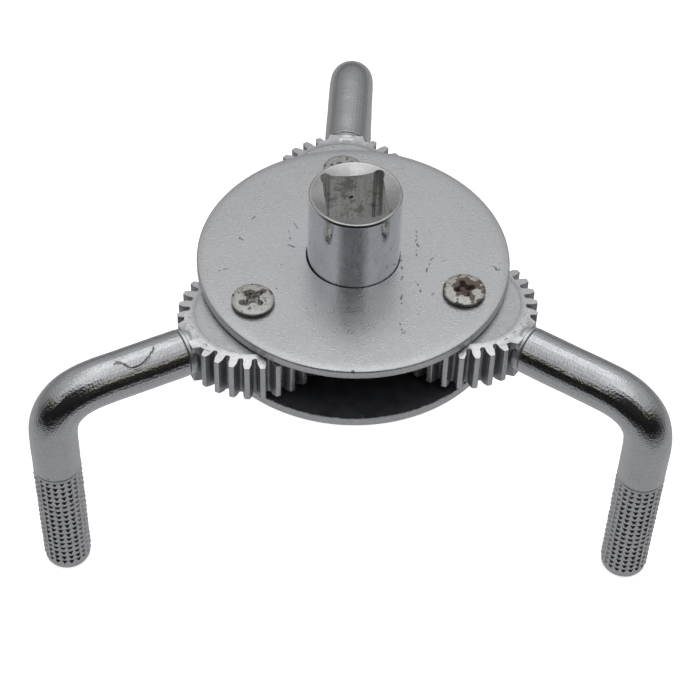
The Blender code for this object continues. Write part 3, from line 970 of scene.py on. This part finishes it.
BEND_STEPS = 160
BEND = eased_bend(BEND_LENGTH, BEND_STEPS)
BEND_SIZE = BEND[-1][0]
BEND_START = LEG_REACH - BEND_SIZE
ROD_END = BEND_START + BEND_LENGTH + ROD_HEIGHT - BEND_SIZE - LEG_BOTTOM
KNURL_START = ROD_END - KNURL_LENGTH


def centreline(distance):
    """Position and direction on the rod's axis, in the planet's frame."""
    if distance <= BEND_START:
        return Vector((distance, 0, ROD_HEIGHT)), Vector((1, 0, 0))
    if distance < BEND_START + BEND_LENGTH:
        place = (distance - BEND_START) / BEND_LENGTH * BEND_STEPS
        step = min(int(place), BEND_STEPS - 1)
        share = place - step
        reach, drop, turn = (a + (b - a) * share for a, b in zip(BEND[step], BEND[step + 1]))
        return Vector((BEND_START + reach, 0, ROD_HEIGHT - drop)), Vector((cos(turn), 0, -sin(turn)))
    drop = distance - BEND_START - BEND_LENGTH
    return Vector((LEG_REACH, 0, ROD_HEIGHT - BEND_SIZE - drop)), Vector((0, 0, -1))


def rod_stations():
    """(distance, radius) down the rod as far as the knurl."""
    start = COLLAR_REACH + SEAM
    edge = 0.3 * MM
    stations = beside(SPIGOT_START, SPIGOT_RADIUS, (0, -0.2), (0.2, 0))
    stations += [(start, SPIGOT_RADIUS), (start, ROD_RADIUS - edge - 0.05 * MM)]
    for turn in (0, 30, 60, 90):
        inset = edge * (1 - sin(radians(turn)))
        stations.append((start + edge * (1 - cos(radians(turn))), ROD_RADIUS - inset))
    distance = start + 0.6 * MM
    lead = KNURL_START - KNURL_LEAD
    while distance < lead - 0.5 * MM:
        stations.append((distance, ROD_RADIUS))
        distance += ROD_STEP
    ripple = ((-0.3, 0.03), (-0.15, -0.03), (0, 0.04), (0.25, -0.02), (0.5, 0.02))
    return stations + beside(lead, ROD_RADIUS, *ripple) + beside(KNURL_START, ROD_RADIUS, (-0.08, 0.04))


class Rod:
    """The bent rod with blunt pyramids on its leg, about the planet's own axis."""

    def __init__(self, number):
        self.chance = Random(40 + number)
        self.shape = bmesh.new()
        self.lumps = Vector((number * 31.7, number * 5.3, 0))
        self.cell = 2 * pi / KNURL_COLUMNS
        gap = (1 - KNURL_WIDTH) / 2
        shares = (0, KNURL_WIDTH / 2, KNURL_WIDTH, KNURL_WIDTH + gap)
        columns = range(KNURL_COLUMNS)
        self.turns = [self.cell * (column + share) for column in columns for share in shares]

    def point(self, distance, radius, turn):
        """A point round the rod's axis."""
        place, direction = centreline(distance)
        across = Vector((0, 1, 0))
        outward = direction.cross(across)
        return place + (outward * cos(turn) + across * sin(turn)) * radius

    def ring(self, distance, radius, lump=0.0):
        """A ring of vertices, uneven where the rod is lumpy."""
        vertices = []
        for turn in self.turns:
            spot = self.point(distance, radius, turn) + self.lumps
            swell = lump * (noise.noise(spot / (5 * MM)) + 0.35 * noise.noise(spot / (1.9 * MM)))
            vertices.append(self.shape.verts.new(self.point(distance, radius + swell, turn)))
        return vertices

    def pyramid(self, base, distance, tall, column, blunt, top):
        """A blunt pyramid on six base corners: three above, three below."""
        near, far = base[:3], base[3:]
        middle = self.cell * (column + KNURL_WIDTH * (0.5 + self.chance.uniform(-0.05, 0.05)))
        depth = distance + tall * (0.56 + self.chance.uniform(-0.05, 0.05))
        half_turn = self.cell * KNURL_WIDTH / 2 * blunt
        half_tall = tall / 2 * blunt
        corners = []
        for down, side in ((-1, -1), (-1, 1), (1, 1), (1, -1)):
            spot = self.point(depth + down * half_tall, top, middle + side * half_turn)
            corners.append(self.shape.verts.new(spot))
        a, b, c, d = corners
        facets = [(near[0], near[1], near[2], b, a), (near[2], far[2], c, b)]
        facets += [(far[2], far[1], far[0], d, c), (far[0], near[0], a, d), (a, b, c, d)]
        for facet in facets:
            self.shape.faces.new(facet).tag = True

    def knurl(self, previous):
        """The rows of pyramids, in a square grid that is shallower in places."""
        tall = KNURL_PITCH * KNURL_HEIGHT
        phase = self.chance.uniform(0, 6)
        for row in range(KNURL_ROWS):
            start = KNURL_START + KNURL_PITCH * row
            near = self.ring(start, KNURL_VALLEY)
            far = self.ring(start + tall, KNURL_VALLEY)
            band(self.shape, previous, near)
            shallow = max(0.0, sin(row * 0.75 + phase)) ** 2
            for column in range(KNURL_COLUMNS):
                at = column * 4
                blunt = self.chance.uniform(0.14, 0.3) + 0.3 * shallow
                top = KNURL_TOP - self.chance.uniform(0, 0.06) * MM - 0.07 * MM * shallow
                base = near[at:at + 3] + far[at:at + 3]
                self.pyramid(base, start, tall, column, blunt, top)
                band(self.shape, near, far, steps=(at + 2, at + 3))
            previous = far
        return previous

    def mesh(self, name):
        """The rod from its spigot to its rounded end."""
        rings = []
        for distance, radius in rod_stations():
            outside = distance > COLLAR_REACH + MM
            rings.append(self.ring(distance, radius, LUMP if outside else 0.0))
        band(self.shape, *rings)
        self.shape.faces.new(rings[0])
        previous = self.knurl(rings[-1])
        start = ROD_END - END_ROUNDING
        for turn in (0, 18, 36, 54, 72, 90):
            inset = END_ROUNDING * (1 - cos(radians(turn)))
            last = self.ring(start + END_ROUNDING * sin(radians(turn)), END_RADIUS - inset)
            band(self.shape, previous, last)
            previous = last
        self.shape.faces.new(previous)
        return finished(name, self.shape, 33)


def make_rod(number, look):
    """A bent rod, placed on its planet."""
    name = f"arm_rod_{number}"
    rod = solid(f"{name}_skin", Rod(number).mesh(name))
    settle(rod, arm_place(number))
    adopt(rod, [look], f"arm_{number}", name)


# The screws

def recess_outline(reach, width):
    """A cross with rounded ends and filled inner corners."""
    outline = []
    half = width / 2
    for quarter in range(4):
        turn = Matrix.Rotation(pi / 2 * quarter, 2)
        points = [(half * 1.7, -half), (reach - half, -half)]
        for step in range(1, 6):
            angle = -pi / 2 + pi * step / 6
            points.append((reach - half + half * cos(angle) * 0.8, half * sin(angle)))
        points += [(reach - half, half), (half * 1.7, half)]
        outline += [tuple(turn @ Vector(p)) for p in points]
    return outline


def make_screw(number, looks, twist, reach, depth):
    """A screw with a worn cross recess, seated on the top plate."""
    name = f"pivot_screw_{number}"
    seat = top_high.z + 0.02 * MM
    side_top = seat + HEAD_SIDE
    crown = side_top + HEAD_DOME
    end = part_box(name)[0].z
    profile = [(0, end)] + beside(SCREW_RADIUS, end, (-0.3, 0), (0, 0.3)) + [(SCREW_RADIUS, seat)]
    profile += beside(HEAD_RADIUS, seat, (-0.2, 0), (-0.03, 0.15))
    shoulder = HEAD_RADIUS - 0.25 * MM
    profile += arc(shoulder, side_top - 0.1 * MM, 0.25 * MM, 0, 60, 5)
    for step in range(1, 9):
        radius = shoulder * (1 - step / 8)
        share = radius / (HEAD_RADIUS - 0.1 * MM)
        profile.append((radius, crown - (HEAD_DOME - 0.16 * MM) * share ** 2))
    screw = solid(f"{name}_skin", lathe(name, profile, 72))
    wings = prism("wings", recess_outline(reach, RECESS_WIDTH), crown - depth, crown + 0.5 * MM, 0.62)
    cut(screw, solid("wings", wings, turned(twist)))
    for face in screw.data.polygons:
        sunk = crown - depth - 0.1 * MM < face.center.z < crown - 0.12 * MM
        within = face.center.to_2d().length < reach - 0.02 * MM
        face.material_index = 1 if sunk and within else 0
    settle(screw, Matrix.Translation(PIVOTS[number]))
    reshade(screw, 28)
    adopt(screw, looks, "head", name)


# Staging

ELEVATION = radians(45.17)
DISTANCE = 428.3 * MM
AZIMUTH = radians(6.66)
ROLL = radians(2.17)
PAN = radians(0.1)
TILT = radians(-2.73)
LENS = 103.5
SENSOR = 36
FLOOR_RADIUS = 6.0
FLOOR_GLOW = 0.75
BACKDROP_LEVEL = 1.05
LAMP_SIZE = 1.6
LAMP_ENERGY = 2.5
LAMP_PLACE = (0.1, -0.1, 1.2)

# The room's light at each elevation in degrees, and its warmth where it isn't grey.
BACK = (
    (-90, 0.48), (-20, 0.36), (0, 0.2), (16, 0.36), (30, 0.44),
    (41, 0.55), (48, 0.74), (60, 1.22), (75, 1.25), (90, 0.98),
)
SIDES = (
    (-90, 0.48), (-24, 0.42), (0, 0.27), (18, 0.34),
    (40, 0.49), (58, 0.55), (70, 0.8), (90, 0.98),
)
FRONT_CORNERS = (
    (-90, 0.44), (-28, 0.40), (-15, 0.08), (-8, 0.015), (17, 0.015), (26, 0.08, 0.35),
    (32, 0.42), (45, 0.48), (58, 0.52), (70, 0.85), (90, 0.98),
)
LOW_FRONT = ((-90, 0.44), (-32, 0.40), (-18, 0.08), (-11, 0.015))
LEFT = LOW_FRONT + (
    (17, 0.015), (26, 0.09, 0.5), (32, 0.55, 0.05), (43, 0.76),
    (57, 0.88), (70, 1.12), (80, 1.15), (90, 0.98),
)
RIGHT = LOW_FRONT + (
    (16, 0.02), (27, 0.08, 0.5), (33, 0.3, 0.15), (42, 0.56),
    (52, 0.68), (63, 0.98), (74, 1.18), (90, 0.98),
)
DEAD_AHEAD = (
    (-90, 0.44), (-34, 0.40), (-20, 0.08), (-12, 0.012),
    (48, 0.03), (62, 0.5), (75, 1.05), (90, 0.98),
)


def make_camera():
    """A long lens, half-way up in front of the second and third arms."""
    data = bpy.data.cameras.new("camera")
    data.lens = LENS
    data.sensor_width = SENSOR
    data.clip_start = 0.01
    data.clip_end = 50
    turn = turned(-AZIMUTH) @ turned(pi / 2 - ELEVATION, "X")
    aim = turned(ROLL) @ turned(PAN, "Y") @ turned(TILT, "X")
    head_centre = Matrix.Translation((0, 0, top_high.z))
    place = head_centre @ turn @ Matrix.Translation((0, 0, DISTANCE)) @ aim
    bpy.context.scene.camera = solid("camera", data, place)


def make_floor():
    """A wide pale floor that the legs stand on."""
    shape = bmesh.new()
    bmesh.ops.create_circle(shape, cap_ends=True, segments=96, radius=FLOOR_RADIUS)
    floor = solid("floor", finished("floor", shape))
    floor.location.z = LEG_BOTTOM
    look = Look("pale_floor", (0.92, 0.92, 0.92), 0.9, 0.0)
    look.mottle(300, 2, 0.3, 0.7, 0.3, (0.90, 0.90, 0.90))
    look.feed(look.shader.inputs["Emission Color"], (1, 1, 1))
    look.feed(look.shader.inputs["Emission Strength"], FLOOR_GLOW)
    floor.data.materials.append(look.done())
    floor.visible_glossy = False


def by_elevation(sky, elevation, stops):
    """A colour ramp over elevation, from straight down to straight up."""
    node = sky.add("ValToRGB", {"Fac": elevation})
    ramp = node.color_ramp
    ramp.interpolation = "EASE"
    while len(ramp.elements) < len(stops):
        ramp.elements.new(0.5)
    for element, (degrees, *_) in zip(ramp.elements, stops):
        element.position = (degrees + 90) / 180
    for element, (_, level, *warmth) in zip(ramp.elements, stops):
        warm = sum(warmth)
        element.color = (level * (1 + warm), level * (1 + 0.5 * warm), level * (1 - warm), 1)
    return node.outputs["Color"]


def room_colour(sky):
    """The light from all round: soft boxes behind and at the sides, a dark room in front."""
    generated = sky.add("TexCoord", {}).outputs["Generated"]
    way = sky.add("VectorRotate", {"Vector": generated, "Angle": AZIMUTH}, rotation_type="Z_AXIS")
    x, y, z = sky.split(way.outputs["Vector"])
    elevation = sky.math("ADD", sky.math("DIVIDE", sky.math("ARCSINE", z), pi), 0.5)
    flat = sky.math("SQRT", sky.math("ADD", sky.times(x, x), sky.times(y, y)))

    def level(value):
        """A part of the direction, as a share of its level length."""
        return sky.math("DIVIDE", value, sky.math("MAXIMUM", flat, 0.001))

    def ramp(stops):
        return by_elevation(sky, elevation, stops)

    ahead = level(sky.times(y, -1.0))
    aside = level(sky.math("ABSOLUTE", x))
    middle = level(sky.math("SUBTRACT", sky.times(x, -0.06), y))
    front = sky.blend(sky.ease(x, -0.15, 0.15), ramp(LEFT), ramp(RIGHT))
    front = sky.blend(sky.ease(aside, 0.62, 0.9), front, ramp(FRONT_CORNERS))
    behind = sky.blend(sky.ease(aside, 0.3, 0.75), ramp(BACK), ramp(SIDES))
    both = sky.blend(sky.ease(ahead, -0.3, 0.58), behind, front)
    return sky.blend(sky.ease(middle, 0.76, 0.90), both, ramp(DEAD_AHEAD))


def make_world():
    """The room for the reflections, and plain white where the camera sees it."""
    world = bpy.data.worlds.new("studio")
    bpy.context.scene.world = world
    world.use_nodes = True
    sky = Nodes(world.node_tree)
    lit = sky.add("Background", {"Color": room_colour(sky)})
    plain = sky.add("Background", {"Color": (1, 1, 1), "Strength": BACKDROP_LEVEL})
    seen = sky.add("LightPath", {}).outputs["Is Camera Ray"]
    shaders = {0: seen, 1: lit.outputs["Background"], 2: plain.outputs["Background"]}
    sky.add("OutputWorld", {"Surface": sky.add("MixShader", shaders).outputs["Shader"]})


def make_light():
    """A wide soft box over the floor."""
    data = bpy.data.lights.new("overhead", "AREA")
    data.shape = "DISK"
    data.size = LAMP_SIZE
    data.energy = LAMP_ENERGY
    lamp = solid("overhead", data)
    lamp.location = LAMP_PLACE
    lamp.visible_glossy = False


# Everything

plate_look = satin_plate("satin_zinc", (0.60, 0.607, 0.622))
rim_look = satin_plate("sheared_zinc", (0.53, 0.537, 0.56), 1.6, False)
# Near-black painted shade for the faces inside the gap and for the detent holes.
inside_shade_look = painted_shade_inside("inside_painted_shade")
top_mesh = lathe("top_plate", crowned_profile(top_low.z, top_high.z, DRIVE_HOLE), PLATE_SEGMENTS)
for vertex in top_mesh.vertices:
    if vertex.co.to_2d().length < DRIVE_HOLE + MM:
        vertex.co += DRIVE_HOLE_SHIFT
make_plate("top_plate", top_mesh, plate_look, inside_shade_look, -1)
bottom_profile = sheared_profile(bottom_low.z, bottom_high.z, JOURNAL_HOLE)
bottom_mesh = lathe("bottom_plate", bottom_profile, PLATE_SEGMENTS)
raise_burr(bottom_mesh, bottom_high.z)
make_plate("bottom_plate", bottom_mesh, rim_look, inside_shade_look, 1)
# Lit and shaded copies of the gear steel: a darker one for the sides of the teeth and the sun gear as painted
# shade, and a lighter one for the ends of the teeth as painted highlight.
gear_look = gear_steel("gear_steel", (0.555, 0.565, 0.59))
flank_shade_look = gear_steel("gear_flanks_painted_shade", (0.32, 0.325, 0.345), 0.4)
end_highlight_look = gear_steel("tooth_ends_painted_highlight", (0.72, 0.725, 0.74), 0.26)
post_look = turned_steel("turned_steel", (0.80, 0.83, 0.87), 0.1)
scuff_way = TIPS[2] - PIVOTS[2]
rod_looks = {
    1: plated_rod("smooth_rod", 0.4),
    2: plated_rod("scuffed_rod", 1.0, atan2(scuff_way.y, scuff_way.x), tuple(PIVOTS[2])),
    3: plated_rod("plated_rod", 1.0),
}
countersink_look = turned_steel("countersink", (0.63, 0.624, 0.62), 0.2, 0.8)
make_drive(post_look, broached_steel("broached_steel"), flank_shade_look, inside_shade_look, countersink_look)
small_look = drawn_steel("drawn_steel")
for number, (brown, head_colour, recess_colour, bright, *recess) in SCREWS.items():
    make_planet(number, gear_look, flank_shade_look, end_highlight_look)
    make_rod(number, rod_looks[number])
    head_look = worn_screw(f"worn_screw_{number}", tuple(PIVOTS[number]), brown, head_colour)
    recess_look = worn_recess(f"worn_recess_{number}", recess_colour, bright)
    make_screw(number, (head_look, recess_look), *recess)
    for name in (f"pivot_sleeve_{number}", f"thrust_washer_{number}"):
        set_looks(frame["nodes"][name], small_look)

make_floor()
make_world()
make_light()
make_camera()
bpy.context.scene.view_settings.view_transform = "Standard"
